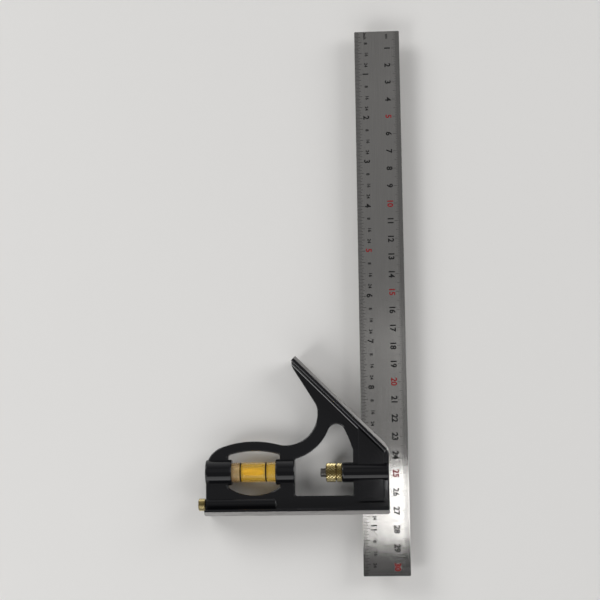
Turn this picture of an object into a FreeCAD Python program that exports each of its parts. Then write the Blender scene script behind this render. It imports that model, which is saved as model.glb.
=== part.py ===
"""Combination square: a die-cast head with a 90 and a 45 degree face, a graduated
blade that slides through it, a bubble vial, a clamp bolt with its nut and a scriber.

The tool lies flat.  +X runs along the 90 degree face, +Y along the blade and +Z up
through the thickness.  Every piece is drawn about the head's own datum, which is the
left end of the 90 degree face at mid-thickness, and is moved to the part's origin,
the middle of the footprint at the resting level, when it is written.
"""
import FreeCAD, Part
import math
import os

Vector = FreeCAD.Vector

# ---------------------------------------------------------------- driving dimensions
# Head: overall
base_length = 100.0          # length of the 90 degree face
flange_width = 19.0          # width of both working faces, across the thickness
web_thickness = 5.5
base_flange_depth = 3.2      # thickness of the 90 degree flange
mitre_flange_depth = 3.4     # thickness of the 45 degree flange
right_end_height = 36.0      # base line to the 45 degree face's line, at the right end
mitre_reach = 50.0           # how far the 45 degree face runs in from the right end
base_fillet = 0.9            # web to 90 degree flange
mitre_fillet = 1.8           # web to 45 degree flange
base_bevel_along = 1.9       # ground bevel beside the 90 degree face, seen from above
mitre_bevel_along = 1.3      # ground bevel beside the 45 degree face, seen from above
bevel_deep = 0.55            # both bevels, through the thickness
flange_edge_round = 0.6
web_edge_round = 0.8
end_corner_round = 9.0       # right end to 45 degree face
base_corner_round = 1.2
barrel_end_round = 0.7

# Blade and its slot
blade_length = 304.8
blade_width = 25.4
blade_thickness = 2.2
blade_inset = 14.8           # how much of the blade's width the head holds
blade_drop = 33.0            # how far the blade stands out under the 90 degree face
blade_corner_round = 0.6
groove_width = 3.2
groove_depth = 1.0
slot_face_gap = 0.05         # each side of the blade
slot_edge_gap = 0.05         # between the blade's edge and the slot's floor
pad_thickness = 7.2          # raised pad round the slot
pad_left_margin = 16.7       # from the pad's left side to the head's right end
pad_right_margin = 2.6       # from its right side to the head's right end
pad_bottom = 6.3
pad_edge_round = 0.9

# Bubble vial and its barrel
vial_axis_y = 23.5
vial_diameter = 10.6
vial_wall = 0.9
vial_length = 32.0
vial_left = 10.3
vial_bore_gap = 0.05
vial_barrel_wall = 1.7
vial_barrel_left_end = 14.3  # the left stub stands in the window up to here
vial_barrel_right_start = 38.2
stopper_length = 8.2
ring_spacing = 13.9
ring_middle_x = 26.05
ring_width = 0.8
ring_depth = 0.12
bubble_length = 11.0
bubble_diameter = 3.8
bubble_gap = 0.06            # liquid film between the bubble and the wall
cap_recess = 0.8             # the end cap sits this far inside the barrel's mouth
cap_wall = 1.2

# Clamp: bolt, nut and spring on one axis
lock_axis_y = 22.8
boss_wall = 1.7
boss_length = 25.5
nut_pocket_gap = 0.3         # round the nut's hub
nut_pocket_depth = 5.0
collar_length = 2.0
bolt_thread_diameter = 5.0
bolt_thread_pitch = 0.8
bolt_thread_depth = 0.4
bolt_thread_proud = 11.8     # how far the thread stands out of the boss
bolt_body_diameter = 7.5
bolt_body_gap = 0.5          # from the collar to the bolt's body
bolt_flat_gap = 0.15         # between the bolt's flat and the blade's back
bolt_end_recess = 1.6        # bolt's end to the head's right end
bolt_travel = 1.2
hook_width = 1.8
hook_side_gap = 0.1          # hook to the groove's pulling wall
hook_tip_gap = 0.2           # hook to the groove's floor
running_gap = 0.05           # radial gap of every part that turns or slides in a bore
nut_diameter = 10.8
nut_length = 8.8
nut_hub_wall = 1.35
nut_hub_length = 1.5
nut_face_gap = 0.05
nut_flute_count = 30
nut_flute_depth = 0.45
spring_wire = 0.6
spring_bore_gap = 0.4        # between the coil and the thread inside it
spring_turns = 4.0
spring_arcs_per_turn = 8     # the coil is swept along tangent arcs

# Scriber and its barrel
scriber_axis_y = 6.2
scriber_barrel_wall = 1.8
scriber_barrel_length = 38.5
needle_diameter = 2.4
needle_length = 55.0
needle_point_length = 7.0
needle_seat_depth = 2.8      # how deep the needle is held in its knob
knob_diameter = 6.9
knob_length = 4.0
knob_gap = 0.2               # between the knob and the head
knob_flute_count = 22
knob_flute_depth = 0.35
bushing_wall = 0.775
needle_gap = 0.025           # radial, needle in its sleeve
bushing_length = 6.0
bushing_mouth = 0.6          # the bushing sits this far inside its bore
bushing_slit = 0.5
bushing_ring = 1.0           # left whole at the sleeve's outer end
bore_spare_length = 2.0      # drilled past the needle's point
bore_radial_gap = 0.3

# Windows: the vial's keeps its place from the left end, the nut's from the right end
finger_left_margin = 51.2
finger_right_margin = 19.5
finger_bottom = 10.3
finger_corner_round = 1.2
vial_window_left = 12.3
vial_window_right = 40.5
vial_corner_round = 1.6

# ------------------------------------------------------------------- derived places
mitre_foot = base_length + right_end_height     # x + y along the 45 degree face
mitre_tip = (base_length - mitre_reach, right_end_height + mitre_reach)
finger_left = base_length - finger_left_margin
finger_right = base_length - finger_right_margin
blade_left = base_length - blade_inset
blade_right = blade_left + blade_width
blade_middle = (blade_left + blade_right) / 2.0
blade_back = -blade_thickness / 2.0
groove_left = blade_middle - groove_width / 2.0
slot_left = blade_left - slot_edge_gap
slot_half = blade_thickness / 2.0 + slot_face_gap
pad_left = base_length - pad_left_margin
pad_right = base_length - pad_right_margin
vial_right = vial_left + vial_length
vial_radius = vial_diameter / 2.0
vial_inner_radius = vial_radius - vial_wall
vial_bore_diameter = vial_diameter + 2.0 * vial_bore_gap
vial_barrel_diameter = vial_bore_diameter + 2.0 * vial_barrel_wall
bolt_bore_radius = bolt_body_diameter / 2.0 + running_gap
boss_diameter = 2.0 * (bolt_bore_radius + boss_wall)
boss_left = base_length - boss_length
bolt_thread_end = boss_left - bolt_thread_proud
nut_bore_radius = bolt_thread_diameter / 2.0 + running_gap
nut_hub_radius = nut_bore_radius + nut_hub_wall
nut_pocket_diameter = 2.0 * (nut_hub_radius + nut_pocket_gap)
spring_mean_diameter = bolt_thread_diameter + 2.0 * spring_bore_gap + spring_wire
pocket_floor = boss_left + nut_pocket_depth
collar_right = pocket_floor + collar_length
bolt_body_start = collar_right + bolt_body_gap
bolt_right = base_length - bolt_end_recess
nut_right = boss_left - nut_face_gap
knob_left = -knob_gap - knob_length
bushing_bore = needle_diameter + 2.0 * needle_gap
bushing_diameter = bushing_bore + 2.0 * bushing_wall
scriber_barrel_diameter = bushing_diameter + 2.0 * scriber_barrel_wall
origin = Vector((knob_left + blade_right) / 2.0,
                blade_length / 2.0 - blade_drop,
                -flange_width / 2.0)
root_two = math.sqrt(2.0)


# --------------------------------------------------------------------- small helpers
def block(x0, x1, y0, y1, z0, z1):
    """A box given by its two limits along each axis."""
    return Part.makeBox(x1 - x0, y1 - y0, z1 - z0, Vector(x0, y0, z0))


def rod(x0, x1, y, diameter, z=0.0):
    """A round bar along X."""
    return Part.makeCylinder(diameter / 2.0, x1 - x0, Vector(x0, y, z), Vector(1, 0, 0))


def outline(start, steps):
    """A closed flat face drawn step by step, each step (kind, *values).

    "line" goes straight to a point and "arc" through one point to another.  "bend" is
    an arc to a point and "run" a line of a given length, both carrying on smoothly.
    """
    edges = []
    here = Vector(*start, 0)
    heading = None
    for kind, *values in steps:
        if kind == "run":
            edge = Part.LineSegment(here, here + heading * values[0]).toShape()
        elif kind == "line":
            edge = Part.LineSegment(here, Vector(*values[0], 0)).toShape()
        elif kind == "bend":
            end = Vector(*values[0], 0)
            chord = end - here
            # the arc leaves along the heading, so its centre is square to it
            side = Vector(-heading.y, heading.x, 0)
            radius = chord.dot(chord) / (2.0 * side.dot(chord))
            centre = here + side * radius
            middle = (here + end) * 0.5 - centre
            if heading.dot(chord) < 0:
                middle = middle * -1.0
            middle.normalize()
            edge = Part.Arc(here, centre + middle * abs(radius), end).toShape()
        else:
            edge = Part.Arc(here, Vector(*values[0], 0), Vector(*values[1], 0)).toShape()
        first, last = edge.ParameterRange
        begin, finish = edge.valueAt(first), edge.valueAt(last)
        heading = edge.tangentAt(last)
        if (finish - here).Length < (begin - here).Length:
            begin, finish = finish, begin
            heading = edge.tangentAt(first) * -1.0
        edges.append(edge)
        here = finish
    return Part.Face(Part.Wire(edges))


def plate(face, thickness):
    """A flat face made into a plate, centred on the mid-plane."""
    return face.translated(Vector(0, 0, -thickness / 2.0)).extrude(Vector(0, 0, thickness))


def upright_edges(shape):
    """The straight edges that run through the thickness."""
    found = []
    for edge in shape.Edges:
        low, high = edge.Vertexes[0].Point, edge.Vertexes[-1].Point
        if abs(low.x - high.x) < 1e-6 and abs(low.y - high.y) < 1e-6:
            found.append(edge)
    return found


def rim_edges(shape, level):
    """The edges that lie in the plane z = level."""
    return [edge for edge in shape.Edges
            if abs(edge.BoundBox.ZMin - level) < 1e-4 and abs(edge.BoundBox.ZMax - level) < 1e-4]


def end_rounded(shape, radius, x):
    """Round the circular edges of a bar's end face at x."""
    edges = [edge for edge in shape.Edges
             if abs(edge.BoundBox.XMin - x) < 1e-4 and abs(edge.BoundBox.XMax - x) < 1e-4]
    return shape.makeFillet(radius, edges)


def turned(points, y):
    """A solid of revolution about the X-parallel line at height y, from (x, radius) points."""
    corners = [Vector(x, y + radius, 0) for x, radius in points]
    face = Part.Face(Part.makePolygon(corners + [corners[0]]))
    return face.revolve(Vector(0, y, 0), Vector(1, 0, 0), 360)


# ------------------------------------------------------------------------ head casting
def flange_section(depth, fillet, bevel_along):
    """T section of a flange: u is the depth from the working face, v the thickness."""
    half = flange_width / 2.0
    web = web_thickness / 2.0
    edge = flange_edge_round
    slope = 1.0 - 1.0 / root_two
    side = [(0, half - bevel_deep), (bevel_along, half), (depth - edge, half),
            (depth - edge * slope, half - edge * slope), (depth, half - edge),
            (depth, web + fillet), (depth + fillet * slope, web + fillet * slope),
            (depth + fillet, web)]
    other = [(u, -v) for u, v in side]
    return outline(side[0], [
        ("line", side[1]), ("line", side[2]), ("arc", side[3], side[4]),
        ("line", side[5]), ("arc", side[6], side[7]),
        ("line", other[7]), ("arc", other[6], other[5]),
        ("line", other[4]), ("arc", other[3], other[2]),
        ("line", other[1]), ("line", other[0]), ("line", side[0])])


def base_flange():
    """The 90 degree flange, along X."""
    section = flange_section(base_flange_depth, base_fillet, base_bevel_along)
    # u to +Y, v to +Z
    section.rotate(Vector(0, 0, 0), Vector(1, 1, 1), 120)
    return section.extrude(Vector(base_length, 0, 0))


def mitre_flange():
    """The 45 degree flange, from its tip down to past the right end."""
    section = flange_section(mitre_flange_depth, mitre_fillet, mitre_bevel_along)
    section.rotate(Vector(0, 0, 0), Vector(1, 1, 1), 120)
    # the section's depth pointed to +Y; the mitre's inward direction is (-1, -1)
    section.rotate(Vector(0, 0, 0), Vector(0, 0, 1), 135)
    section.translate(Vector(*mitre_tip, 0))
    return section.extrude(Vector(mitre_reach, -mitre_reach, 0))


def head_outline():
    """The head seen from above, without its windows."""
    tip_x, tip_y = mitre_tip
    square_end = mitre_flange_depth / root_two
    return outline((0, 0), [
        ("line", (0, 25.0)),
        ("bend", (8.5, 37.1)),                                      # shoulder
        ("bend", (base_length - 60.5, right_end_height + 2.4)),     # crest over the vial
        ("bend", (base_length - 38.6, right_end_height + 20.5)),    # bay for the fingers
        ("bend", (base_length - 40.1, right_end_height + 25.1)),
        ("run", 21.5),                                              # arm
        ("bend", (tip_x - square_end, tip_y - square_end)),
        ("line", mitre_tip),
        ("line", (base_length, right_end_height)),
        ("line", (base_length, 0)),
        ("line", (0, 0))])


def finger_window():
    """The window that the nut stands in."""
    return outline((finger_left, finger_bottom), [
        ("line", (finger_left, right_end_height - 5.7)),
        ("arc", (base_length - 40.7, right_end_height - 0.5),       # runs beside the bay
         (base_length - 32.8, right_end_height + 10.1)),
        ("bend", (base_length - 24.1, right_end_height + 10.4)),    # top
        ("bend", (finger_right, right_end_height - 1.0)),
        ("line", (finger_right, finger_bottom)),
        ("line", (finger_left, finger_bottom))])


def vial_window():
    """The window that shows the vial."""
    middle = (vial_window_left + vial_window_right) / 2.0
    side_low, side_high = vial_axis_y - 8.3, vial_axis_y + 9.3
    crown_low, crown_high = vial_axis_y - 12.6, vial_axis_y + 11.4
    return outline((vial_window_left, side_low), [
        ("line", (vial_window_left, side_high)),
        ("arc", (middle, crown_high), (vial_window_right, side_high)),
        ("line", (vial_window_right, side_low)),
        ("arc", (middle, crown_low), (vial_window_left, side_low))])


def window_cutter(face, radius):
    """A cutter right through the head with its upright corners rounded."""
    cutter = plate(face, flange_width + 2.0)
    return cutter.makeFillet(radius, upright_edges(cutter))


def head_casting():
    """Web, flanges, barrels, boss and pad, then the bores and the blade's slot."""
    silhouette = plate(head_outline(), flange_width + 2.0)
    right_corner = [edge for edge in upright_edges(silhouette)
                    if edge.Vertexes[0].X > base_length - 1e-6 and edge.Vertexes[0].Y > 1.0]
    silhouette = silhouette.makeFillet(end_corner_round, right_corner)
    base_corners = [edge for edge in upright_edges(silhouette) if edge.Vertexes[0].Y < 1e-6]
    silhouette = silhouette.makeFillet(base_corner_round, base_corners)

    web_slab = block(-1, base_length + 1, -1, mitre_foot, -web_thickness / 2.0, web_thickness / 2.0)
    web = silhouette.common(web_slab)
    web = web.cut(window_cutter(vial_window(), vial_corner_round))
    web = web.cut(window_cutter(finger_window(), finger_corner_round))
    rims = []
    for edge in rim_edges(web, web_thickness / 2.0) + rim_edges(web, -web_thickness / 2.0):
        place = edge.CenterOfMass
        beside_mitre = place.x + place.y > mitre_foot - mitre_flange_depth * 2.0
        beside_base = place.y < base_corner_round
        if not beside_mitre and not beside_base:
            rims.append(edge)
    web = web.makeFillet(web_edge_round, rims)

    flanges = base_flange().fuse(mitre_flange()).common(silhouette)

    left_stub = rod(0, vial_barrel_left_end, vial_axis_y, vial_barrel_diameter)
    left_stub = end_rounded(left_stub, barrel_end_round, vial_barrel_left_end)
    left_stub = end_rounded(left_stub, barrel_end_round, 0)
    right_stub = rod(vial_barrel_right_start, finger_left, vial_axis_y, vial_barrel_diameter)
    right_stub = end_rounded(right_stub, barrel_end_round, vial_barrel_right_start)
    right_stub = end_rounded(right_stub, barrel_end_round, finger_left)
    scriber_barrel = rod(0, scriber_barrel_length, scriber_axis_y, scriber_barrel_diameter)
    scriber_barrel = end_rounded(scriber_barrel, barrel_end_round, scriber_barrel_length)
    boss = rod(boss_left, base_length, lock_axis_y, boss_diameter)
    boss = end_rounded(boss, barrel_end_round, boss_left)
    boss = end_rounded(boss, barrel_end_round, base_length)

    pad_top_sum = mitre_foot - mitre_flange_depth * root_two
    pad = plate(outline((pad_left, pad_bottom), [
        ("line", (pad_right, pad_bottom)),
        ("line", (pad_right, pad_top_sum - pad_right)),
        ("line", (pad_left, pad_top_sum - pad_left)),
        ("line", (pad_left, pad_bottom))]), pad_thickness)
    pad = pad.makeFillet(pad_edge_round, rim_edges(pad, pad_thickness / 2.0)
                         + rim_edges(pad, -pad_thickness / 2.0))

    head = web.multiFuse([flanges, left_stub, right_stub, scriber_barrel, boss, pad])

    # vial bore, blind, and the scriber's bores
    head = head.cut(rod(-1, vial_right + vial_bore_gap, vial_axis_y, vial_bore_diameter))
    needle_right = knob_left + knob_length - needle_seat_depth + needle_length
    head = head.cut(rod(-1, needle_right + bore_spare_length, scriber_axis_y,
                        needle_diameter + 2 * bore_radial_gap))
    head = head.cut(rod(-1, bushing_mouth + bushing_length, scriber_axis_y, bushing_diameter))

    # clamp bores: nut pocket, collar and bolt body
    head = head.cut(rod(boss_left - 1, pocket_floor, lock_axis_y, nut_pocket_diameter))
    head = head.cut(rod(pocket_floor - 1, collar_right + 1, lock_axis_y, 2 * nut_bore_radius))
    head = head.cut(rod(collar_right, base_length + 1, lock_axis_y, 2 * bolt_bore_radius))

    # blade slot, open to the right
    head = head.cut(block(slot_left, base_length + 1, -1, mitre_foot, -slot_half, slot_half))
    return head.removeSplitter()


# ------------------------------------------------------------------------------- blade
def blade():
    """The rule: a flat bar with a full-length groove in its back for the clamp's hook."""
    bar = block(blade_left, blade_right, -blade_drop, blade_length - blade_drop,
                blade_back, -blade_back)
    bar = bar.makeFillet(blade_corner_round, upright_edges(bar))
    groove = block(groove_left, groove_left + groove_width, -blade_drop - 1,
                   blade_length - blade_drop + 1, blade_back - 1, blade_back + groove_depth)
    return bar.cut(groove)


# ------------------------------------------------------------------------------- clamp
def lock_bolt():
    """Threaded shank, round body, and a half body with a hook that grips the blade."""
    crest = bolt_thread_diameter / 2.0
    root = crest - bolt_thread_depth
    profile = [(bolt_thread_end, 0), (bolt_thread_end, root)]
    x = bolt_thread_end
    while x + bolt_thread_pitch < pocket_floor:
        profile.append((x + bolt_thread_pitch * 0.4, crest))
        profile.append((x + bolt_thread_pitch * 0.6, crest))
        profile.append((x + bolt_thread_pitch, root))
        x += bolt_thread_pitch
    profile.append((x + bolt_thread_depth, crest))
    profile.append((bolt_body_start, crest))
    profile.append((bolt_body_start, bolt_body_diameter / 2.0))
    profile.append((bolt_right, bolt_body_diameter / 2.0))
    profile.append((bolt_right, 0))
    bolt = turned(profile, lock_axis_y)

    # everything above the blade's back is cut away beside the blade, but for the hook
    flat_level = blade_back - bolt_flat_gap
    flat_start = blade_left - hook_side_gap - bolt_travel
    hook_left = groove_left + hook_side_gap
    hook_top = blade_back + groove_depth - hook_tip_gap
    reach = bolt_body_diameter
    low, high = lock_axis_y - reach, lock_axis_y + reach
    bolt = bolt.cut(block(flat_start, hook_left, low, high, flat_level, reach))
    bolt = bolt.cut(block(hook_left, hook_left + hook_width, low, high, hook_top, reach))
    bolt = bolt.cut(block(hook_left + hook_width, bolt_right + 1, low, high, flat_level, reach))
    return bolt


def fluted(shape, y, diameter, x0, x1, count, depth):
    """Cut straight V flutes round a turned grip."""
    radius = diameter / 2.0
    half_width = math.pi * radius / count * 0.8
    corners = [Vector(x0 - 1, y + radius - depth, 0),
               Vector(x0 - 1, y + radius + depth, half_width * 2),
               Vector(x0 - 1, y + radius + depth, -half_width * 2)]
    wedge = Part.Face(Part.makePolygon(corners + [corners[0]])).extrude(Vector(x1 - x0 + 2, 0, 0))
    cutters = []
    for index in range(count):
        cutter = wedge.copy()
        cutter.rotate(Vector(0, y, 0), Vector(1, 0, 0), index * 360.0 / count)
        cutters.append(cutter)
    return shape.cut(cutters)


def lock_nut():
    """Fluted brass nut with a plain hub that enters the boss."""
    radius = nut_diameter / 2.0
    ease = 0.7
    bore = nut_bore_radius
    left = nut_right - nut_length
    hub = nut_hub_radius
    nut = turned([(left, bore), (left, radius - ease), (left + ease, radius),
                  (nut_right - ease, radius), (nut_right, radius - ease), (nut_right, hub),
                  (nut_right + nut_hub_length, hub), (nut_right + nut_hub_length, bore)],
                 lock_axis_y)
    return fluted(nut, lock_axis_y, nut_diameter, left, nut_right, nut_flute_count,
                  nut_flute_depth)


def lock_spring():
    """Light compression spring between the nut's hub and the collar."""
    left = nut_right + nut_hub_length + nut_face_gap + spring_wire / 2.0
    right = pocket_floor - spring_wire / 2.0
    length = right - left

    def on_coil(turn):
        angle = 2.0 * math.pi * turn
        return Vector(length * turn / spring_turns,
                      spring_mean_diameter / 2.0 * math.cos(angle),
                      spring_mean_diameter / 2.0 * math.sin(angle))

    step = 1.0 / spring_arcs_per_turn
    arcs = [Part.Arc(on_coil(count * step), on_coil((count + 0.5) * step),
                     on_coil((count + 1) * step)).toShape()
            for count in range(round(spring_turns * spring_arcs_per_turn))]
    section = Part.Wire(Part.makeCircle(spring_wire / 2.0, on_coil(0), Vector(0, 0, 1)))
    coil = Part.Wire(arcs).makePipeShell([section], True, True)
    coil.translate(Vector(left, lock_axis_y, 0))
    return coil


# -------------------------------------------------------------------------------- vial
def ring_places():
    """Left edge of each index ring."""
    first = ring_middle_x - ring_spacing / 2.0 - ring_width / 2.0
    return [first, first + ring_spacing]


def ring_at(x):
    """One index ring, let into the tube's outside."""
    outer = rod(x, x + ring_width, vial_axis_y, vial_diameter)
    return outer.cut(rod(x - 1, x + ring_width + 1, vial_axis_y, vial_diameter - 2 * ring_depth))


def vial_index_rings():
    return Part.makeCompound([ring_at(x) for x in ring_places()])


def vial_tube():
    """Clear tube, closed at its right end, with a seat for each ring."""
    tube = rod(vial_left, vial_right, vial_axis_y, vial_diameter)
    tube = tube.cut(rod(vial_left - 1, vial_right - vial_wall, vial_axis_y, 2 * vial_inner_radius))
    return tube.cut([ring_at(x) for x in ring_places()])


def vial_stopper():
    return rod(vial_left, vial_left + stopper_length, vial_axis_y, 2 * vial_inner_radius)


def vial_bubble():
    """A round-ended bubble that floats against the upper side of the tube."""
    radius = bubble_diameter / 2.0
    level = vial_inner_radius - bubble_gap - radius
    half = bubble_length / 2.0 - radius
    middle = rod(ring_middle_x - half, ring_middle_x + half, vial_axis_y, bubble_diameter, level)
    ends = [Part.makeSphere(radius, Vector(x, vial_axis_y, level))
            for x in (ring_middle_x - half, ring_middle_x + half)]
    return middle.multiFuse(ends).removeSplitter()


def vial_liquid():
    fill = rod(vial_left + stopper_length, vial_right - vial_wall, vial_axis_y,
               2 * vial_inner_radius)
    return fill.cut(vial_bubble())


def vial_end_cap():
    """Cup pressed into the barrel's mouth, its rim against the vial."""
    cap = rod(cap_recess, vial_left, vial_axis_y, vial_bore_diameter)
    return cap.cut(rod(cap_recess + cap_wall, vial_left + 1, vial_axis_y,
                       vial_bore_diameter - 2 * cap_wall))


# ----------------------------------------------------------------------------- scriber
def scriber_needle():
    start = -knob_gap - needle_seat_depth
    radius = needle_diameter / 2.0
    end = start + needle_length
    return turned([(start, 0), (start, radius), (end - needle_point_length, radius),
                   (end - 0.2, 0.08), (end, 0)], scriber_axis_y)


def scriber_knob():
    radius = knob_diameter / 2.0
    ease = 0.5
    right = knob_left + knob_length
    bore = needle_diameter / 2.0
    knob = turned([(knob_left, 0), (knob_left, radius - ease), (knob_left + ease, radius),
                   (right - ease, radius), (right, radius - ease), (right, bore),
                   (right - needle_seat_depth, bore), (right - needle_seat_depth, 0)],
                  scriber_axis_y)
    return fluted(knob, scriber_axis_y, knob_diameter, knob_left, right, knob_flute_count,
                  knob_flute_depth)


def scriber_bushing():
    """Split spring sleeve that grips the needle."""
    right = bushing_mouth + bushing_length
    sleeve = rod(bushing_mouth, right, scriber_axis_y, bushing_diameter)
    sleeve = sleeve.cut(rod(0, right + 1, scriber_axis_y, bushing_bore))
    return sleeve.cut(block(bushing_mouth + bushing_ring, right + 1,
                            scriber_axis_y - bushing_slit / 2.0,
                            scriber_axis_y + bushing_slit / 2.0, 0, bushing_diameter))


# ------------------------------------------------------------------------------- write
nodes = {
    "head_casting": head_casting,
    "blade": blade,
    "lock_bolt": lock_bolt,
    "lock_nut": lock_nut,
    "lock_spring": lock_spring,
    "vial_tube": vial_tube,
    "vial_stopper": vial_stopper,
    "vial_liquid": vial_liquid,
    "vial_bubble": vial_bubble,
    "vial_index_rings": vial_index_rings,
    "vial_end_cap": vial_end_cap,
    "scriber_needle": scriber_needle,
    "scriber_knob": scriber_knob,
    "scriber_bushing": scriber_bushing,
}

os.makedirs("parts", exist_ok=True)
for name, make in nodes.items():
    shape = make()
    shape.translate(-origin)
    shape.exportStep("parts/%s.step" % name)
    print("%-18s solids %d  valid %s  volume %.1f" %
          (name, len(shape.Solids), shape.isValid(), shape.Volume))
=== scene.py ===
# %% [markdown]
# # A combination square, finished in Blender
#
# The tool is a black die-cast head that slides along a steel rule.  The head, the rule and
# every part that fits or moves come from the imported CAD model, so this script only adds what
# a drawing office leaves out: paint, brushed metal, etched scale marks, knurling and light.
# One call loads the model as a fixed frame, and every piece made here rides on its bodies.

# %% Load the frame
import math

import bmesh
import bpy
from mathutils import Matrix, Vector


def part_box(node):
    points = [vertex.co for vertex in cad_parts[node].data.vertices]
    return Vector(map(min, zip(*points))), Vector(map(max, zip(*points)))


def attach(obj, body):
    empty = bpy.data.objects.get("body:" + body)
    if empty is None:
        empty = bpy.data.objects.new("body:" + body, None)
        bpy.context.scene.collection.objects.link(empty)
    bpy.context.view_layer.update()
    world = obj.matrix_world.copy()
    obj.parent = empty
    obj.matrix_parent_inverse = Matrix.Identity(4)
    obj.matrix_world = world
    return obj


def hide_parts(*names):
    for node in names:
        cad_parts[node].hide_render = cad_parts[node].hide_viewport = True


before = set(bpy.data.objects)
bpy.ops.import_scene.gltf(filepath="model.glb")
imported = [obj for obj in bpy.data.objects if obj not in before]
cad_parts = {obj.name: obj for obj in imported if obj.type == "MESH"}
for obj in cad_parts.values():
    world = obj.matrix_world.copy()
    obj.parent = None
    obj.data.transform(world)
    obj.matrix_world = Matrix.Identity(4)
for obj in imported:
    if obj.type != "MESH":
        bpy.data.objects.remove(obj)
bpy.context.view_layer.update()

# %% [markdown]
# Blender works in metres, but a tool like this is thought of in millimetres, so one constant
# turns one into the other.  Reading each part's box from the model keeps every later place
# tied to the CAD: the two knurled parts turn about axes through the middle of their boxes.

# %% Units and datums
MM = 0.001
INCH = 25.4 * MM

head_low, head_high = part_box("head_casting")
rule_low, rule_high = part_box("blade")
nut_low, nut_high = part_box("lock_nut")
knob_low, knob_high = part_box("scriber_knob")

middle_z = (head_low.z + head_high.z) / 2
lock_axis = Vector((0, (nut_low.y + nut_high.y) / 2, middle_z))
knob_axis = Vector((0, (knob_low.y + knob_high.y) / 2, middle_z))
nut_radius = (nut_high.y - nut_low.y) / 2
knob_radius = (knob_high.y - knob_low.y) / 2
print("head starts at", tuple(round(v / MM, 2) for v in head_low), "mm")
print("nut and knob radii:", round(nut_radius / MM, 2), round(knob_radius / MM, 2), "mm")

# %% [markdown]
# ## Shader groups
#
# Several finishes share an effect: the fine lines that a belt or a grinding wheel leaves, and
# the uneven sheen that handling leaves.  Each effect is built once as a node group with named
# sockets and placed in a material with that material's own values.  The groups read Object
# coordinates, which for these pieces are real metres, so a scale of 1000 means one per
# millimetre.  Two short helpers join sockets and add nodes, so that each group reads as a
# list of its steps.

# %% Helpers for node trees
def link(tree, source, target):
    """Join an output socket to an input socket."""
    tree.links.new(source, target)


def add(tree, kind, **settings):
    """A node with its properties or default inputs set by name."""
    node = tree.nodes.new(kind)
    for name, value in settings.items():
        if hasattr(node, name):
            setattr(node, name, value)
        else:
            node.inputs[name.replace("_", " ")].default_value = value
    return node


def arithmetic(tree, operation, first, second):
    """A Math node fed by sockets or plain numbers; returns its output."""
    node = add(tree, "ShaderNodeMath", operation=operation)
    for index, value in enumerate((first, second)):
        if isinstance(value, (int, float)):
            node.inputs[index].default_value = value
        else:
            link(tree, value, node.inputs[index])
    return node.outputs[0]


def between_0_and_1(tree, value):
    """A value cut off below zero and above one."""
    return arithmetic(tree, "MINIMUM", arithmetic(tree, "MAXIMUM", value, 0.0), 1.0)


def new_group(name, inputs, outputs):
    """A node group with the sockets given as {name: (type, default)} and {name: type}."""
    group = bpy.data.node_groups.new(name, "ShaderNodeTree")
    for label, (kind, default) in inputs.items():
        socket = group.interface.new_socket(label, in_out="INPUT", socket_type=kind)
        socket.default_value = default
    for label, kind in outputs.items():
        group.interface.new_socket(label, in_out="OUTPUT", socket_type=kind)
    return group, group.nodes.new("NodeGroupInput"), group.nodes.new("NodeGroupOutput")


# %% [markdown]
# The first group draws fine parallel lines.  It squeezes the space across the lines and
# stretches it along them before an ordinary noise is read there, so each speck of the noise
# becomes a long streak.  A streak pattern painted by hand would need an image; this one is
# sharp at any distance.

# %% Group: fine parallel lines, as from a belt or a grinding wheel
FLOAT, VECTOR = "NodeSocketFloat", "NodeSocketVector"

grain, grain_in, grain_out = new_group(
    "brushed_lines",
    {"Across and along": (VECTOR, (4000.0, 60.0, 4000.0)), "Depth": (FLOAT, 0.5)},
    {"Shade": FLOAT, "Height": FLOAT})
where = add(grain, "ShaderNodeTexCoord")
stretch = add(grain, "ShaderNodeMapping")
link(grain, where.outputs["Object"], stretch.inputs["Vector"])
link(grain, grain_in.outputs["Across and along"], stretch.inputs["Scale"])
fine = add(grain, "ShaderNodeTexNoise", Scale=1.0, Detail=4.0, Roughness=0.65)
link(grain, stretch.outputs["Vector"], fine.inputs["Vector"])
level = arithmetic(grain, "SUBTRACT", fine.outputs["Fac"], 0.5)
link(grain, arithmetic(grain, "MULTIPLY", level, grain_in.outputs["Depth"]),
     grain_out.inputs["Shade"])
link(grain, fine.outputs["Fac"], grain_out.inputs["Height"])
print("group", grain.name)

# %% [markdown]
# The second group is a soft, slow change that swings about zero.  Added to a roughness or a
# colour, it keeps a surface from looking as even as a computer draws it.

# %% Group: slow uneven sheen, from handling and from the way paint dries
mottle, mottle_in, mottle_out = new_group(
    "uneven_sheen",
    {"Patch size": (FLOAT, 60.0), "Amount": (FLOAT, 0.1)},
    {"Change": FLOAT})
where = add(mottle, "ShaderNodeTexCoord")
patch = add(mottle, "ShaderNodeTexNoise", Detail=3.0, Roughness=0.6)
link(mottle, where.outputs["Object"], patch.inputs["Vector"])
link(mottle, mottle_in.outputs["Patch size"], patch.inputs["Scale"])
level = arithmetic(mottle, "SUBTRACT", patch.outputs["Fac"], 0.5)
link(mottle, arithmetic(mottle, "MULTIPLY", level, mottle_in.outputs["Amount"]),
     mottle_out.inputs["Change"])
print("group", mottle.name)

# %% [markdown]
# The third group is for knurled parts.  It measures how far a point lies from the axis and
# gives 0 at the roots of the knurl and 1 at its crests.  Flattening the offset along X first
# is what makes it a distance from a line and not from a point.

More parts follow.
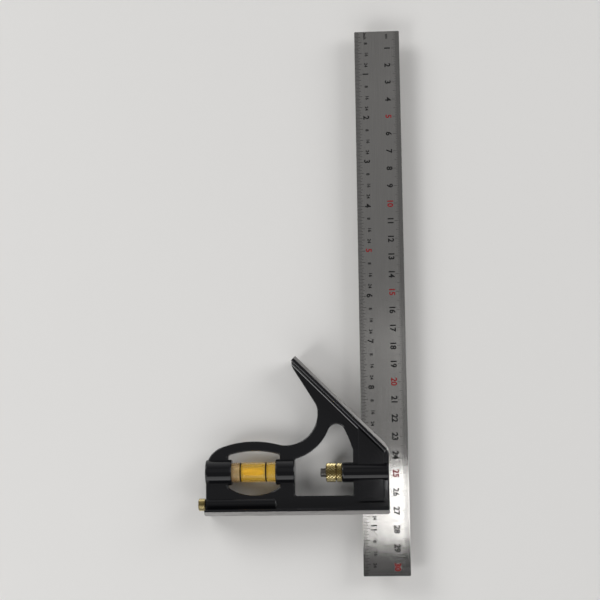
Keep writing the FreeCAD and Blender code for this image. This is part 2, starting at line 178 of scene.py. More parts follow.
# %% Group: distance from an axis that runs along X, for turned and knurled parts
turned, turned_in, turned_out = new_group(
    "depth_in_knurl",
    {"Axis": (VECTOR, (0, 0, 0)), "Root radius": (FLOAT, 0.005), "Tooth": (FLOAT, 0.0005)},
    {"Crest": FLOAT})
where = add(turned, "ShaderNodeTexCoord")
offset = add(turned, "ShaderNodeVectorMath", operation="SUBTRACT")
link(turned, where.outputs["Object"], offset.inputs[0])
link(turned, turned_in.outputs["Axis"], offset.inputs[1])
flatten = add(turned, "ShaderNodeVectorMath", operation="MULTIPLY")
flatten.inputs[1].default_value = (0, 1, 1)
link(turned, offset.outputs[0], flatten.inputs[0])
radius = add(turned, "ShaderNodeVectorMath", operation="LENGTH")
link(turned, flatten.outputs[0], radius.inputs[0])
above = arithmetic(turned, "SUBTRACT", radius.outputs["Value"], turned_in.outputs["Root radius"])
share = arithmetic(turned, "DIVIDE", above, turned_in.outputs["Tooth"])
link(turned, between_0_and_1(turned, share), turned_out.inputs["Crest"])
print("group", turned.name)

# %% [markdown]
# ## Finishes
#
# Each material is one Principled BSDF.  Anything that is the same all over is typed on the
# shader's own socket; only what varies over the surface is linked.  A small helper makes the
# shader and reports the name, and another adds a Bump node, because nearly every finish has
# some relief too fine to model.

# %% Helpers for materials
def finish(name, **values):
    """A material with one Principled BSDF; returns the material, its tree and the shader."""
    material = bpy.data.materials.new(name)
    material.use_nodes = True
    tree = material.node_tree
    shader = tree.nodes["Principled BSDF"]
    for label, value in values.items():
        shader.inputs[label.replace("_", " ")].default_value = value
    print("finish", name)
    return material, tree, shader


def place(tree, group, **values):
    """A shared group placed in a material with its own values."""
    node = add(tree, "ShaderNodeGroup", node_tree=group)
    for label, value in values.items():
        node.inputs[label.replace("_", " ")].default_value = value
    return node


def bump(tree, shader, height, distance):
    """Relief from a height socket; distance is the full height in metres."""
    node = add(tree, "ShaderNodeBump", Strength=1.0, Distance=distance)
    link(tree, height, node.inputs["Height"])
    link(tree, node.outputs["Normal"], shader.inputs["Normal"])


def blend_colours(tree, share, first, second):
    """A colour mixed from two by a share from 0 to 1."""
    node = add(tree, "ShaderNodeMix", data_type="RGBA")
    link(tree, share, node.inputs[0])
    for socket, value in ((node.inputs[6], first), (node.inputs[7], second)):
        if isinstance(value, tuple):
            socket.default_value = value
        else:
            link(tree, value, socket)
    return node.outputs[2]


def shade_around(tree, shader, middle, *changes):
    """Roughness from a middle value plus any number of changing sockets."""
    total = middle
    for change in changes:
        total = arithmetic(tree, "ADD", change, total)
    link(tree, total, shader.inputs["Roughness"])


def scaled(tree, change, amount):
    """A changing value made stronger or weaker."""
    return arithmetic(tree, "MULTIPLY", change, amount)


def varied_colour(tree, colour, change):
    """A plain colour that a changing value, swinging about zero, makes lighter and darker."""
    node = add(tree, "ShaderNodeVectorMath", operation="SCALE")
    node.inputs[0].default_value = colour
    link(tree, arithmetic(tree, "ADD", change, 1.0), node.inputs["Scale"])
    return node.outputs[0]


# %% [markdown]
# The head is a zinc casting, sprayed with gloss black enamel and then ground on its two
# working faces, which cuts through the paint and leaves a bright band along each flange.
# Two separate materials would need the casting's mesh to be split, and the CAD mesh stays as
# it is.  So one material measures how deep a point lies behind each working face and turns
# from paint to bare metal there, with a slightly ragged edge as the paint breaks away.

# %% Finish: black enamel, where the paint ends
BASE_BAND = 2.1 * MM          # the ground band behind the 90 degree face
MITRE_BAND = 1.6 * MM         # and behind the 45 degree face, measured square to it
RIGHT_END_HEIGHT = 36.0 * MM  # where the 45 degree face's line meets the right end
CHIPPING = 0.22 * MM          # how far the paint's edge wanders
PAINT_EDGE = 0.08 * MM        # width of the soft change from paint to metal

enamel, tree, shader = finish("black_enamel", IOR=1.5)
where = add(tree, "ShaderNodeTexCoord")
split = add(tree, "ShaderNodeSeparateXYZ")
link(tree, where.outputs["Object"], split.inputs[0])
ragged = add(tree, "ShaderNodeTexNoise", Scale=900.0, Detail=3.0)
link(tree, where.outputs["Object"], ragged.inputs["Vector"])
chip = scaled(tree, arithmetic(tree, "SUBTRACT", ragged.outputs["Fac"], 0.5), CHIPPING)
base_depth = arithmetic(tree, "SUBTRACT", split.outputs["Y"], head_low.y)
mitre_line = head_high.x + head_low.y + RIGHT_END_HEIGHT
line_sum = arithmetic(tree, "ADD", split.outputs["X"], split.outputs["Y"])
mitre_depth = scaled(tree, arithmetic(tree, "SUBTRACT", mitre_line, line_sum), math.sqrt(0.5))


def bare_where(depth, band):
    """1 on bare metal and 0 on paint, with a narrow soft edge."""
    inside = arithmetic(tree, "SUBTRACT", band, arithmetic(tree, "ADD", depth, chip))
    return between_0_and_1(tree, arithmetic(tree, "DIVIDE", inside, PAINT_EDGE))


bare = arithmetic(tree, "MAXIMUM", bare_where(base_depth, BASE_BAND),
                  bare_where(mitre_depth, MITRE_BAND))
print("ground bands:", round(BASE_BAND / MM, 2), "and", round(MITRE_BAND / MM, 2), "mm")

# %% [markdown]
# With that mask in hand, the colour, the metal and the roughness are each a mix of two: smooth
# black paint with a trace of waviness, and metal with the marks of a grinding wheel.

# %% Finish: black enamel, paint and ground metal
PAINT_COLOUR, GROUND_COLOUR = (0.007, 0.007, 0.008, 1), (0.36, 0.35, 0.34)
PAINT_ROUGHNESS, GROUND_ROUGHNESS = 0.05, 0.36
ORANGE_PEEL = 0.003 * MM      # height of the paint's slight waviness

lines = place(tree, grain, Across_and_along=(120.0, 120.0, 6000.0), Depth=0.5)
sheen = place(tree, mottle, Patch_size=90.0, Amount=0.025)
metal = varied_colour(tree, GROUND_COLOUR, lines.outputs["Shade"])
link(tree, blend_colours(tree, bare, PAINT_COLOUR, metal), shader.inputs["Base Color"])
link(tree, bare, shader.inputs["Metallic"])
rough_metal = arithmetic(tree, "ADD", scaled(tree, lines.outputs["Shade"], 0.5),
                         GROUND_ROUGHNESS)
rough_paint = arithmetic(tree, "ADD", sheen.outputs["Change"], PAINT_ROUGHNESS)
rough = add(tree, "ShaderNodeMix", data_type="FLOAT")
link(tree, bare, rough.inputs[0])
link(tree, rough_paint, rough.inputs[2])
link(tree, rough_metal, rough.inputs[3])
link(tree, rough.outputs[0], shader.inputs["Roughness"])
peel = add(tree, "ShaderNodeTexNoise", Scale=520.0, Detail=2.0, Roughness=0.5)
link(tree, where.outputs["Object"], peel.inputs["Vector"])
relief = arithmetic(tree, "ADD", peel.outputs["Fac"],
                    arithmetic(tree, "MULTIPLY", lines.outputs["Height"], bare))
bump(tree, shader, relief, ORANGE_PEEL)
print("paint roughness", PAINT_ROUGHNESS, "and ground metal", GROUND_ROUGHNESS)

# %% [markdown]
# The rule is stainless steel, brushed along its length and then etched.  Its lines are long
# and hair-fine, so the noise is squeezed across the rule and stretched along it.  The same
# lines drive the shade, the roughness and a very shallow relief.  Brushed steel also spreads
# a highlight across its lines and hardly along them: that is what Anisotropic does, and the
# Tangent node tells it which way the lines run.

# %% Finish: brushed stainless rule
RULE_COLOUR, RULE_ROUGHNESS = (0.60, 0.585, 0.56), 0.125
RULE_LINES = 0.003 * MM       # depth of the brushed lines

rule_steel, tree, shader = finish("rule_steel", Metallic=1.0, Anisotropic=0.95)
lines = place(tree, grain, Across_and_along=(5200.0, 45.0, 5200.0), Depth=0.42)
sheen = place(tree, mottle, Patch_size=28.0, Amount=0.10)
change = arithmetic(tree, "ADD", lines.outputs["Shade"], sheen.outputs["Change"])
link(tree, varied_colour(tree, RULE_COLOUR, change), shader.inputs["Base Color"])
shade_around(tree, shader, RULE_ROUGHNESS, scaled(tree, sheen.outputs["Change"], 0.2),
             scaled(tree, lines.outputs["Shade"], 0.15))
bump(tree, shader, lines.outputs["Height"], RULE_LINES)
across = add(tree, "ShaderNodeTangent", direction_type="RADIAL", axis="Y")
link(tree, across.outputs["Tangent"], shader.inputs["Tangent"])

# %% [markdown]
# Brass parts are turned and then knurled, so their crests are bright and the roots of the
# knurl stay dull.  The roots are painted darker as well: painted shade in the hollows of the
# knurl, with a little oil and dirt.  The group that measures the distance from the axis gives
# that difference on any round part, whatever its knurl.

# %% Finishes: brass, one for each knurled part
NUT_TOOTH = 0.70 * MM         # depth of the knurl on the nut
KNOB_TOOTH = 0.45 * MM        # and on the knob
# the root colour is painted shade in the knurl's hollows, with a little dirt
BRASS_ROOT_SHADED, BRASS_CREST = (0.17, 0.115, 0.03, 1), (0.95, 0.84, 0.48, 1)
ROOT_ROUGHNESS, CREST_GLOSS = 0.40, -0.20
TURNING_MARKS = 0.006 * MM


def brass_finish(name, axis, root_radius, tooth):
    """Brass that is bright on the crests, with painted shade darkening the dull roots."""
    material, tree, shader = finish(name, Metallic=1.0)
    crest = place(tree, turned, Axis=tuple(axis), Root_radius=root_radius, Tooth=tooth)
    sheen = place(tree, mottle, Patch_size=500.0, Amount=0.16)
    # painted shade: the colour darkens from the crests down into the roots
    link(tree, blend_colours(tree, crest.outputs["Crest"], BRASS_ROOT_SHADED, BRASS_CREST),
         shader.inputs["Base Color"])
    shade_around(tree, shader, ROOT_ROUGHNESS,
                 scaled(tree, crest.outputs["Crest"], CREST_GLOSS), sheen.outputs["Change"])
    fine = place(tree, grain, Across_and_along=(9000.0, 900.0, 900.0), Depth=0.3)
    bump(tree, shader, fine.outputs["Height"], TURNING_MARKS)
    return material


nut_brass = brass_finish("nut_brass", lock_axis, nut_radius - NUT_TOOTH, NUT_TOOTH)
knob_brass = brass_finish("knob_brass", knob_axis, knob_radius - KNOB_TOOTH, KNOB_TOOTH)

# %% [markdown]
# Small steel parts share one recipe with different colours and line directions: plain turned
# steel on the bolt, hardened steel on the needle, drawn wire on the spring and the needle's
# split sleeve, and brushed aluminium on the vial's cap.

# %% Finishes: turned and drawn metal
TOOL_MARKS = 0.005 * MM       # depth of the marks that turning or drawing leaves


def metal_finish(name, colour, roughness, across_and_along):
    """Bare metal with the marks of its making."""
    material, tree, shader = finish(name, Metallic=1.0)
    lines = place(tree, grain, Across_and_along=across_and_along, Depth=0.4)
    sheen = place(tree, mottle, Patch_size=300.0, Amount=0.12)
    link(tree, varied_colour(tree, colour, lines.outputs["Shade"]), shader.inputs["Base Color"])
    shade_around(tree, shader, roughness, sheen.outputs["Change"],
                 scaled(tree, lines.outputs["Shade"], 0.4))
    bump(tree, shader, lines.outputs["Height"], TOOL_MARKS)
    return material


bolt_steel = metal_finish("bolt_steel", (0.30, 0.29, 0.28), roughness=0.34,
                          across_and_along=(7000.0, 700.0, 700.0))
needle_steel = metal_finish("needle_steel", (0.52, 0.52, 0.53), roughness=0.22,
                            across_and_along=(6000.0, 500.0, 500.0))
spring_steel = metal_finish("spring_steel", (0.42, 0.42, 0.44), roughness=0.28,
                            across_and_along=(900.0, 900.0, 900.0))
cap_metal = metal_finish("cap_aluminium", (0.66, 0.66, 0.67), roughness=0.38,
                         across_and_along=(700.0, 5000.0, 5000.0))

# %% [markdown]
# The vial is a clear acrylic tube with an amber liquid round a bubble.  Clear materials keep
# plain transmission, and their tint drifts a little through the piece.  The dye in a level's
# liquid is fluorescent, and the liquid is given a faint glow of its own colour: painted light
# that makes it brighter than the lamps alone would.  The bubble is almost clear and shows as a
# brighter pill.

# %% Finishes: the clear parts of the vial
def clear_finish(name, colour, ior, roughness, variation, clearness, painted_glow=0.0):
    """A see-through material whose tint drifts slightly through the piece, with an optional
    painted glow of that tint.
    """
    material, tree, shader = finish(name, IOR=ior, Transmission_Weight=clearness,
                                    Emission_Strength=painted_glow)
    sheen = place(tree, mottle, Patch_size=160.0, Amount=variation)
    tint = varied_colour(tree, colour, sheen.outputs["Change"])
    link(tree, tint, shader.inputs["Base Color"])
    # painted light: the glow lights the piece in its own tint, with no lamp behind it
    if painted_glow:
        link(tree, tint, shader.inputs["Emission Color"])
    shade_around(tree, shader, roughness, scaled(tree, sheen.outputs["Change"], 0.2))
    return material


vial_acrylic = clear_finish("vial_acrylic", (0.98, 0.96, 0.84), ior=1.30, roughness=0.03,
                            variation=0.06, clearness=1.0)
# the liquid's glow below is painted light, which brightens it
vial_liquid = clear_finish("vial_liquid", (0.98, 0.72, 0.13), ior=1.12, roughness=0.05,
                           variation=0.14, clearness=0.65, painted_glow=0.10)
vial_air = clear_finish("vial_air", (0.98, 0.90, 0.55), ior=1.05, roughness=0.0,
                        variation=0.04, clearness=1.0)

# %% [markdown]
# The stopper in the end of the tube is a milky plastic, stained by the liquid.  Its cloudiness
# is the same slow noise as elsewhere, but in small patches and strong.

# %% Finish: the vial's stopper
STOPPER_COLOUR, STOPPER_ROUGHNESS = (0.98, 0.78, 0.45), 0.42
STOPPER_RELIEF = 0.15 * MM

stopper_plastic, tree, shader = finish("stopper_plastic", IOR=1.5)
sheen = place(tree, mottle, Patch_size=700.0, Amount=0.5)
link(tree, varied_colour(tree, STOPPER_COLOUR, sheen.outputs["Change"]),
     shader.inputs["Base Color"])
shade_around(tree, shader, STOPPER_ROUGHNESS, sheen.outputs["Change"])
bump(tree, shader, sheen.outputs["Change"], STOPPER_RELIEF)

# %% [markdown]
# Scale marks are etched and filled with paint.  The paint is matt and slightly worn, so its
# colour lightens in patches.

# %% Finishes: paint in the etched marks
MARK_ROUGHNESS = 0.55


def paint_finish(name, colour, worn):
    """Matt filling paint that has thinned in places."""
    material, tree, shader = finish(name, Specular_IOR_Level=0.2)
    sheen = place(tree, mottle, Patch_size=1500.0, Amount=1.6)
    share = arithmetic(tree, "MAXIMUM", sheen.outputs["Change"], 0.0)
    link(tree, blend_colours(tree, share, colour, worn), shader.inputs["Base Color"])
    shade_around(tree, shader, MARK_ROUGHNESS, scaled(tree, sheen.outputs["Change"], 0.2))
    return material


mark_black = paint_finish("mark_black", (0.005, 0.005, 0.005, 1), (0.05, 0.05, 0.05, 1))
mark_red = paint_finish("mark_red", (0.22, 0.014, 0.016, 1), (0.30, 0.07, 0.06, 1))

# %% [markdown]
# ## Dressing the CAD nodes
#
# Nodes whose shape is already right keep their mesh, fillets and all.  Only their plain
# stand-in material goes, and one of the finishes above takes its place.

# %% Give each kept node its finish
def dress(node, material):
    """Replace every material slot of a CAD node."""
    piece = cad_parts[node]
    piece.data.materials.clear()
    piece.data.materials.append(material)
    print("dressed", node, "with", material.name)


for node, material in {
        "head_casting": enamel,
        "blade": rule_steel,
        "lock_bolt": bolt_steel,
        "lock_spring": spring_steel,
        "vial_tube": vial_acrylic,
        "vial_liquid": vial_liquid,
        "vial_bubble": vial_air,
        "vial_stopper": stopper_plastic,
        "vial_index_rings": mark_black,
        "vial_end_cap": cap_metal,
        "scriber_needle": needle_steel,
        "scriber_bushing": spring_steel}.items():
    dress(node, material)

# %% [markdown]
# ## New pieces
#
# Every new piece ends in the same way: the finished bmesh becomes the mesh of an object that
# stays at the origin, with its place in its points.  The CAD nodes are made like that too, so
# a pattern on Object coordinates has the same scale and direction on all of them.

# %% Helper: from a bmesh to an object
SAME_POINT = 0.001 * MM       # points closer than this are merged into one


def piece_from(name, bm, material):
    """An object at the origin with a finished bmesh as its mesh, and one material."""
    mesh = bpy.data.meshes.new(name)
    bm.to_mesh(mesh)
    bm.free()
    mesh.materials.append(material)
    piece = bpy.data.objects.new(name, mesh)
    bpy.context.scene.collection.objects.link(piece)
    print(name, "has", len(mesh.polygons), "faces")
    return piece


# %% [markdown]
# ## Knurled brass
#
# A diamond knurl is cut by two crossing sets of slanted grooves.  Modelling the grooves would
# take hundreds of cuts, but the result has a simple pattern: on a grid of points round the
# bar, every second point is a crest and the rest are roots, like the squares of a chess
# board.  So a ring of edges is extruded along the axis from station to station, and in the
# gripping band each new point is pulled in or left out by turns.  Splitting the faces along
# their shorter diagonal joins root to root and leaves one sharp pyramid per crest.

# %% Helper: a turned part made by extruding one ring from station to station
def ring_turned(name, axis, stations, segments, material):
    """A closed turned part along X.

    Each station is (x, radius) for a plain ring, or (x, crest, root, parity) for a ring of a
    knurl.  The last station is followed by the first, which closes the part round its bore.
    """
    bm = bmesh.new()
    bmesh.ops.create_circle(bm, cap_ends=False, radius=1.0, segments=segments)
    step = 2 * math.pi / segments
    ring = list(bm.edges)

    def settle(verts, station):
        for vert in verts:
            index = round(math.atan2(vert.co.y, vert.co.x) / step)
            radius = station[1]
            if len(station) == 4 and (index + station[3]) % 2:
                radius = station[2]
            angle = index * step
            vert.co = Vector((math.cos(angle) * radius, math.sin(angle) * radius, station[0]))

    settle(bm.verts, stations[0])
    for station in stations[1:] + stations[:1]:
        grown = bmesh.ops.extrude_edge_only(bm, edges=ring)["geom"]
        settle([item for item in grown if isinstance(item, bmesh.types.BMVert)], station)
        ring = [item for item in grown if isinstance(item, bmesh.types.BMEdge)]
    bmesh.ops.remove_doubles(bm, verts=bm.verts, dist=SAME_POINT)
    bmesh.ops.triangulate(bm, faces=bm.faces, quad_method="SHORT_EDGE")
    bmesh.ops.recalc_face_normals(bm, faces=bm.faces)
    # the part was drawn up the Z axis, and belongs along X
    bmesh.ops.rotate(bm, verts=bm.verts, cent=(0, 0, 0),
                     matrix=Matrix.Rotation(math.radians(90), 3, "Y"))
    bmesh.ops.translate(bm, verts=bm.verts, vec=axis)
    return piece_from(name, bm, material)


def knurl_stations(left, right, crest, tooth, segments):
    """Rings of alternating crests and roots, spaced so that the diamonds come out square."""
    pitch = 2 * math.pi * crest / segments
    rows = max(2, round((right - left) / pitch))
    width = (right - left) / rows
    return [(left + row * width, crest, crest - tooth, row % 2) for row in range(rows + 1)]


# %% [markdown]
# The clamp nut is held between two fingers.  It has two knurled bands with a groove turned
# between them, a chamfer at its outer end, a plain hub that turns inside the boss, and the
# bore that the bolt passes through.  Its outline is listed once, from the mouth of the bore
# round the outside and back along the hub.

# %% The clamp nut
NUT_SEGMENTS = 40
NUT_BORE = 2.55 * MM
NUT_MOUTH = 0.35 * MM         # chamfer at the mouth of the bore
NUT_EASE = 0.55 * MM          # turned chamfer at the outer end
NUT_HUB = 1.5 * MM            # length of the plain hub, inside the boss
NUT_HUB_RADIUS = 3.9 * MM
NUT_HUB_EASE = 0.2 * MM
GROOVE_AT, GROOVE_WIDE = 5.2 * MM, 0.9 * MM   # from the left end, and how wide
GROOVE_DEEP = 0.5 * MM        # below the knurl's roots
GROOVE_SIDE = 0.2 * MM        # slope of its sides
SHOULDER = 0.3 * MM           # from the knurl to the hub's shoulder

grip_left, grip_right = nut_low.x, nut_high.x - NUT_HUB
groove_left = grip_left + GROOVE_AT
groove_right = groove_left + GROOVE_WIDE
nut_root = nut_radius - NUT_TOOTH
groove_radius = nut_root - GROOVE_DEEP
nut = ring_turned("clamp_nut_knurled", lock_axis, (
    [(grip_left, NUT_BORE + NUT_MOUTH), (grip_left, nut_root - NUT_EASE)]
    + knurl_stations(grip_left + NUT_EASE, groove_left, nut_radius, NUT_TOOTH, NUT_SEGMENTS)
    + [(groove_left + GROOVE_SIDE, groove_radius), (groove_right - GROOVE_SIDE, groove_radius)]
    + knurl_stations(groove_right, grip_right - SHOULDER, nut_radius, NUT_TOOTH, NUT_SEGMENTS)
    + [(grip_right, nut_root - GROOVE_SIDE), (grip_right, NUT_HUB_RADIUS),
       (nut_high.x - NUT_HUB_EASE, NUT_HUB_RADIUS),
       (nut_high.x, NUT_HUB_RADIUS - NUT_HUB_EASE),
       (nut_high.x, NUT_BORE), (grip_left + NUT_MOUTH, NUT_BORE)]), NUT_SEGMENTS, nut_brass)
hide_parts("lock_nut")
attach(nut, "clamp_nut")

# %% [markdown]
# The scriber's knob is a smaller turned part, knurled over its whole length, with a ring cut
# in its end face.  A blind hole in its right side takes the needle.

# %% The scriber's knob
KNOB_SEGMENTS = 32
KNOB_EASE = 0.45 * MM         # chamfer at both ends
KNOB_NECK = 1.2 * MM          # radius of the hole that the needle fills
KNOB_SEAT = 2.8 * MM          # depth of that hole
KNOB_MIDDLE = 0.12 * MM       # radius of the tiny centre mark left by turning
RING_INNER, RING_OUTER = 1.5 * MM, 2.3 * MM   # the ring in the end face
RING_SIDE, RING_DEEP = 0.2 * MM, 0.25 * MM

knob_shoulder = knob_radius - KNOB_EASE - KNOB_TOOTH
knob = ring_turned("scriber_knob_knurled", knob_axis, (
    [(knob_low.x, KNOB_MIDDLE), (knob_low.x, RING_INNER),
     (knob_low.x + RING_DEEP, RING_INNER + RING_SIDE),
     (knob_low.x + RING_DEEP, RING_OUTER - RING_SIDE), (knob_low.x, RING_OUTER),
     (knob_low.x, knob_shoulder)]
    + knurl_stations(knob_low.x + KNOB_EASE, knob_high.x - KNOB_EASE, knob_radius, KNOB_TOOTH,
                     KNOB_SEGMENTS)
    + [(knob_high.x, knob_shoulder), (knob_high.x, KNOB_NECK),
       (knob_high.x - KNOB_SEAT, KNOB_NECK), (knob_high.x - KNOB_SEAT, KNOB_MIDDLE)]),
    KNOB_SEGMENTS, knob_brass)
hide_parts("scriber_knob")
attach(knob, "scriber")

# %% [markdown]
# ## Scale marks
#
# The rule carries centimetres along its right edge and inches along its left, both counted
# from its upper end.  The marks are modelled, so they stay sharp in a close view.  Each is a
# sliver of paint that reaches a little way into the steel and stands only a hair proud of it.

# %% Helper: a piece that belongs to the rule
PAINT = 0.012 * MM            # how far the paint stands over the steel
SUNK = 0.05 * MM              # and how far it reaches in


def marks_piece(name, bm, material):
    """Marks that ride on the rule."""
    piece = piece_from(name, bm, material)
    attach(piece, "rule")


def paint_height(side):
    """The height of the middle of the paint, on the front (1) or the back (-1)."""
    surface = rule_high.z if side > 0 else rule_low.z
    return surface + side * (PAINT - SUNK) / 2


# %% [markdown]
# All the ticks of one scale go into a single mesh, made by one loop over the divisions, with
# one small box for each.  A division's length comes from the largest step that it falls on,
# so a whole centimetre gets the longest tick and a half millimetre the shortest.

# %% Helper: ticks
EDGE_GAP = 0.15 * MM          # bare steel between the rule's edge and its ticks


def tick_mesh(name, edge_x, inward, side, count, spacing, width, steps):
    """One scale's ticks.  Each step is (every so many divisions, the tick's length)."""
    bm = bmesh.new()
    for index in range(1, count):
        reach = next(length for every, length in steps if index % every == 0)
        centre = Vector((edge_x + inward * (reach / 2 + EDGE_GAP),
                         rule_high.y - index * spacing, paint_height(side)))
        size = Matrix.Diagonal((reach, width, PAINT + SUNK, 1))
        bmesh.ops.create_cube(bm, size=1.0, matrix=Matrix.Translation(centre) @ size)
    marks_piece(name, bm, mark_black)


# %% Centimetre and inch ticks, front and back
CM_TICK, INCH_TICK = 0.16 * MM, 0.22 * MM     # widths of the two scales' ticks
HALF_MM_STEPS = [(20, 4.6 * MM), (10, 3.9 * MM), (2, 3.0 * MM), (1, 2.2 * MM)]
INCH_STEPS = [(8, 3.8 * MM), (4, 3.2 * MM), (2, 2.7 * MM), (1, 2.1 * MM)]
centimetres = int((rule_high.y - rule_low.y) / (10 * MM))
inches = round((rule_high.y - rule_low.y) / INCH)
print("the rule shows", centimetres, "cm and", inches, "inches")

for side, label in ((1, "front"), (-1, "back")):
    tick_mesh("ticks_centimetre_" + label, rule_high.x, -1, side, centimetres * 20 + 1,
              0.5 * MM, CM_TICK, HALF_MM_STEPS)
    tick_mesh("ticks_inch_" + label, rule_low.x, 1, side, inches * 32, INCH / 32, INCH_TICK,
              INCH_STEPS)

# %% [markdown]
# Numbers start as Blender text.  A text object is turned into a mesh while it still sits at
# the origin, then its points are moved to their place, so that the finished piece's object
# stays at the origin like every CAD node.  The numbers read when the rule is held with its
# zero end at the left, so they are turned a quarter turn on the upright rule.

# %% Helper: numbers
CAPITAL = 0.72                # a capital's height as a share of the text size
BOLDER = 0.045                # how much the strokes are thickened, as a share of the height


def number_mesh(text, height):
    """A mesh of one number, lying flat and centred on the origin, thin as the paint."""
    curve = bpy.data.curves.new("number", "FONT")
    curve.body = text
    curve.size = height / CAPITAL
    curve.align_x = "CENTER"
    curve.align_y = "CENTER"
    curve.extrude = (PAINT + SUNK) / 2
    curve.offset = BOLDER * height
    curve.resolution_u = 3
    holder = bpy.data.objects.new("number", curve)
    bpy.context.scene.collection.objects.link(holder)
    bpy.context.view_layer.update()
    mesh = bpy.data.meshes.new_from_object(holder)
    bpy.data.objects.remove(holder)
    return mesh


def number_piece(name, marks, side, material):
    """All the numbers of one colour on one side.  A mark is (text, x, y, height)."""
    turn = Matrix.Rotation(math.radians(-90), 4, "Z")
    if side < 0:
        turn = Matrix.Rotation(math.radians(180), 4, "Y") @ turn
    bm = bmesh.new()
    for text, x, y, height in marks:
        mesh = number_mesh(text, height)
        mesh.transform(Matrix.Translation((x, y, paint_height(side))) @ turn)
        bm.from_mesh(mesh)
        bpy.data.meshes.remove(mesh)
    bmesh.ops.remove_doubles(bm, verts=bm.verts, dist=SAME_POINT / 2)
    marks_piece(name, bm, material)


# %% [markdown]
# Both sides carry the same numbers, so the list is made once.  Every fifth centimetre or inch
# is red and the rest are black.  Between the inches, small numbers count thirty-seconds.

# %% Where each number goes
NUMBER_HEIGHT = 3.2 * MM
CM_INSET, INCH_INSET = 7.1 * MM, 5.8 * MM     # from the rule's edge to a number's middle
INCH_LEAD = 0.4 * MM                          # an inch number stands this far above its tick
QUARTER_HEIGHT, QUARTER_LAG = 1.8 * MM, 0.6 * MM
QUARTER_INSET, HALF_INSET = 6.2 * MM, 6.6 * MM
UNIT_HEIGHT = 1.7 * MM
CM_UNIT_DOWN, INCH_UNIT_DOWN = 3.0 * MM, 2.6 * MM     # from the rule's upper end

black, red = [], []
for number in range(1, centimetres + 1):
    (red if number % 5 == 0 else black).append(
        (str(number), rule_high.x - CM_INSET, rule_high.y - number * 10 * MM, NUMBER_HEIGHT))
for number in range(1, inches):
    (red if number % 5 == 0 else black).append(
        (str(number), rule_low.x + INCH_INSET, rule_high.y - number * INCH + INCH_LEAD,
         NUMBER_HEIGHT))
for quarter in range(1, inches * 4):
    if quarter % 4:
        inset = HALF_INSET if quarter % 4 == 2 else QUARTER_INSET
        black.append((str(quarter % 4 * 8), rule_low.x + inset,
                      rule_high.y - quarter * INCH / 4 - QUARTER_LAG, QUARTER_HEIGHT))
black.append(("cm", rule_high.x - CM_INSET, rule_high.y - CM_UNIT_DOWN, UNIT_HEIGHT))
black.append(("inch", rule_low.x + INCH_INSET, rule_high.y - INCH_UNIT_DOWN, UNIT_HEIGHT))
print(len(black), "black marks and", len(red), "red")

# %% Numbers, front and back
for side, label in ((1, "front"), (-1, "back")):
    number_piece("numbers_black_" + label, black, side, mark_black)
    number_piece("numbers_red_" + label, red, side, mark_red)

# %% [markdown]
# ## Stage, camera and light
#
# The floor is plain and pale, and lies just under the tool so that the two never share a
# surface.

# %% Floor
FLOOR_REACH = 3.0             # metres from the middle to each side
FLOOR_GAP = 0.05 * MM
FLOOR_COLOUR = (0.80, 0.79, 0.77)

pale, tree, shader = finish("pale_floor", Roughness=0.9, Specular_IOR_Level=0.2)
sheen = place(tree, mottle, Patch_size=4.0, Amount=0.02)
link(tree, varied_colour(tree, FLOOR_COLOUR, sheen.outputs["Change"]),
     shader.inputs["Base Color"])

bm = bmesh.new()
bmesh.ops.create_grid(bm, x_segments=1, y_segments=1, size=FLOOR_REACH,
                      matrix=Matrix.Translation((0, 0, -FLOOR_GAP)))
floor = piece_from("floor", bm, pale)
print("floor reaches", max(vert.co.x for vert in floor.data.vertices), "m each way")

# %% [markdown]
# The tool lies flat, and the camera looks down on it from arm's length with a slight tilt, so
# the near walls of the casting just show.  A long lens keeps the far end of the rule almost
# as wide as the near end.

# %% Camera
LENS, SENSOR = 86.46, 36.0    # both in millimetres, as on a real camera

camera_data = bpy.data.cameras.new("camera")
camera_data.sensor_width = SENSOR
camera_data.lens = LENS
camera = bpy.data.objects.new("camera", camera_data)
bpy.context.scene.collection.objects.link(camera)
camera.location = (0.0460, -0.1216, 0.800)
camera.rotation_euler = (math.radians(8.611), math.radians(3.480), math.radians(-0.648))
bpy.context.scene.camera = camera
print("camera at", [round(v, 3) for v in camera.location], "with a lens of", LENS, "mm")

# %% [markdown]
# Black gloss paint has no shade of its own, so its shape shows only in what it reflects, and
# the same goes for brushed steel.  Each light is therefore a soft panel with a place in some
# reflection.  A level mirror sends the camera's line of sight back up at the same slope, so
# where a panel must hang to be seen at one spot of the rule follows from that spot and the
# camera.

# %% Helpers: panels, and where a level surface sees them
CEILING = 1.6                 # height of the overhead panels, in metres


def mirrored(spot):
    """Where the ceiling shows in a level surface at that spot, seen from the camera."""
    share = (CEILING - spot.z) / (camera.location.z - spot.z)
    across = (spot - camera.location) * share
    return Vector((spot.x + across.x, spot.y + across.y, CEILING))


def panel(name, spot, aim, width, height, power):
    """A soft rectangular light at a spot, aimed at a point."""
    data = bpy.data.lights.new(name, "AREA")
    data.shape = "RECTANGLE"
    data.size, data.size_y, data.energy = width, height, power
    light = bpy.data.objects.new(name, data)
    bpy.context.scene.collection.objects.link(light)
    light.location = spot
    light.rotation_euler = (Vector(aim) - Vector(spot)).to_track_quat("-Z", "Y").to_euler()
    print("light", name, "at", [round(v, 2) for v in spot])


# %% [markdown]
# Four panels stand round the tool and draw thin bright lines along its flanges and barrels:
# a strong one at the upper left, a softer one at the right, a long one in front, and a small
# one between the first and the third for the edges that face the lower left.

# %% Lights round the tool
centre = (head_low + head_high) / 2
panel("key_upper_left", (-0.95, 0.75, 0.75), centre, width=0.9, height=0.6, power=8.5)
panel("fill_right", (1.05, 0.35, 0.70), centre, width=0.6, height=0.9, power=5.5)
panel("front_low", (0.1, -1.20, 0.80), centre, width=1.8, height=0.9, power=5.5)
panel("edge_strip", (-0.62, -0.62, 0.80), centre, width=0.35, height=0.5, power=3.0)

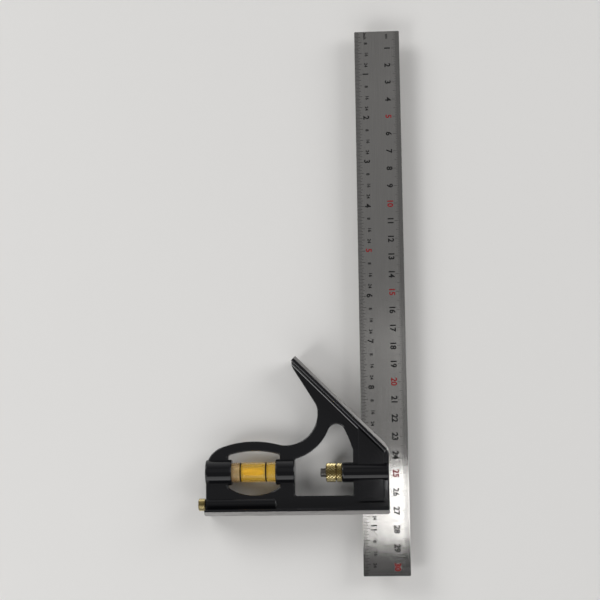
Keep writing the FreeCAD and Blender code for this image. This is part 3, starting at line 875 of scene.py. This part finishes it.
# %% [markdown]
# Three more hang overhead for the rule alone.  A wide, dim one is what most of the rule
# mirrors, and it stops short of the lower end, which stays dark.  A small bright one puts a
# glare beside the head's lower face, and a weak one between them lets the glare fade upwards.
# The weak one hangs off to the right, where the enamel doesn't mirror it.

# %% Lights over the rule
CEILING_AHEAD = 0.6           # metres from the mirrored dark end to the wide panel's middle
LIFT_ASIDE = 0.24             # metres that the weak panel is moved to the right
DARK_BELOW = 18.0 * MM        # below the head's lower face, where the rule turns dark
GLARE_ABOVE, GLARE_ASIDE = 5.0 * MM, 4.0 * MM     # from that face and from the rule's edge
LIFT_ABOVE = 55.0 * MM

dark_spot = Vector(((rule_low.x + rule_high.x) / 2, head_low.y - DARK_BELOW, rule_high.z))
above = mirrored(dark_spot) + Vector((0, CEILING_AHEAD, 0))
panel("ceiling", above, (above.x, above.y, 0), width=1.8, height=1.1, power=0.62)

glare_spot = Vector((rule_high.x + GLARE_ASIDE, head_low.y + GLARE_ABOVE, rule_high.z))
panel("rule_glare", mirrored(glare_spot), glare_spot, width=0.13, height=0.052, power=0.19)

lift_spot = Vector((rule_high.x, head_low.y + LIFT_ABOVE, rule_high.z))
lift = mirrored(lift_spot) + Vector((LIFT_ASIDE, 0, 0))
panel("rule_lift", lift, lift_spot, width=0.40, height=0.26, power=0.16)

# %% [markdown]
# The world stands in for a room with light walls and a darker ceiling.  Overhead it is dim,
# so black paint seen from above stays black.  Near the horizon it is bright, so the steel has
# something to mirror when it is seen from low down.  The view transform is the plain one,
# which shows a pale floor as pale.

# %% World
world = bpy.data.worlds.new("studio")
world.use_nodes = True
sky = world.node_tree
background = sky.nodes["Background"]
background.inputs["Color"].default_value = (0.88, 0.88, 0.90, 1)
looking = add(sky, "ShaderNodeTexCoord")
split = add(sky, "ShaderNodeSeparateXYZ")
link(sky, looking.outputs["Generated"], split.inputs[0])
dimming = add(sky, "ShaderNodeMapRange", From_Min=0.05, From_Max=0.80, To_Min=0.70, To_Max=0.10)
link(sky, split.outputs["Z"], dimming.inputs["Value"])
link(sky, dimming.outputs["Result"], background.inputs["Strength"])
bpy.context.scene.world = world
bpy.context.scene.view_settings.view_transform = "Standard"
print("world", world.name)
